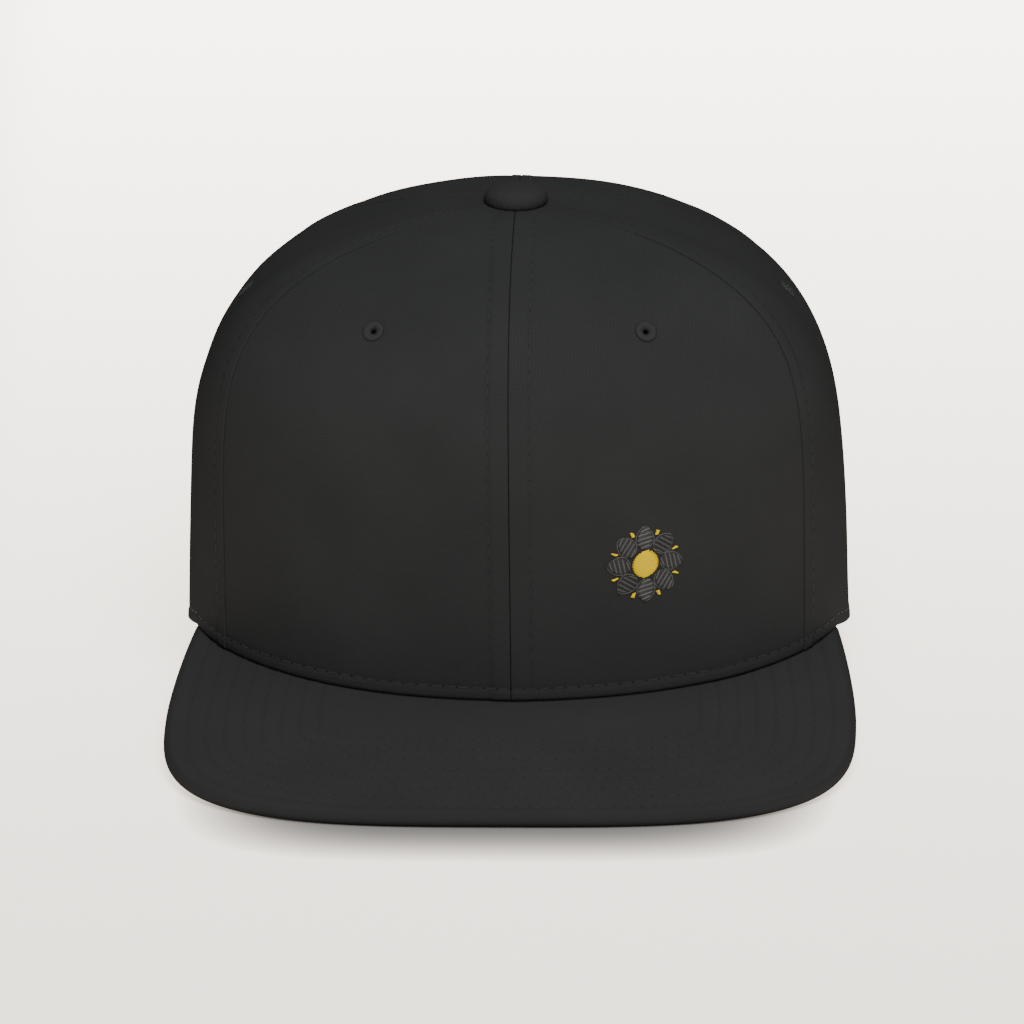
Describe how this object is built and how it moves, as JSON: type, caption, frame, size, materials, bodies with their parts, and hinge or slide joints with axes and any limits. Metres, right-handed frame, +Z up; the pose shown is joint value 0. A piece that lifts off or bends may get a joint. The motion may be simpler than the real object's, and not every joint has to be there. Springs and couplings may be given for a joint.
{
  "type": "cap",
  "caption": "Structured six-panel cap with a flat visor, a cloth button on top, sewn eyelets and an arched rear opening closed by a snap strap.",
  "frame": {"origin": "on the floor under the middle of the cap's overall length and width, as it rests on its visor's front edge and the back of its rim", "axes": "+Z up, -Y out along the visor (the front), +X towards the cap's left side as worn, which is the right side of the picture"},
  "size_m": [0.187, 0.2446, 0.1349],
  "materials": {
    "twill": "matt wool-blend twill",
    "thread": "sewn thread, slight sheen",
    "visor_cloth": "matt twill over a stiff board",
    "band_cloth": "soft matt cotton",
    "strap_plastic": "satin moulded plastic"
  },
  "bodies": {
    "root": {"panel_front_left": "twill", "panel_front_right": "twill", "panel_side_left": "twill", "panel_side_right": "twill", "panel_back_left": "twill", "panel_back_right": "twill", "eyelet_front_left": "thread", "eyelet_front_right": "thread", "eyelet_side_left": "thread", "eyelet_side_right": "thread", "eyelet_back_left": "thread", "eyelet_back_right": "thread", "visor": "visor_cloth", "sweatband": "band_cloth", "snap_strap": "strap_plastic", "button": "twill"}
  },
  "joints": []
}
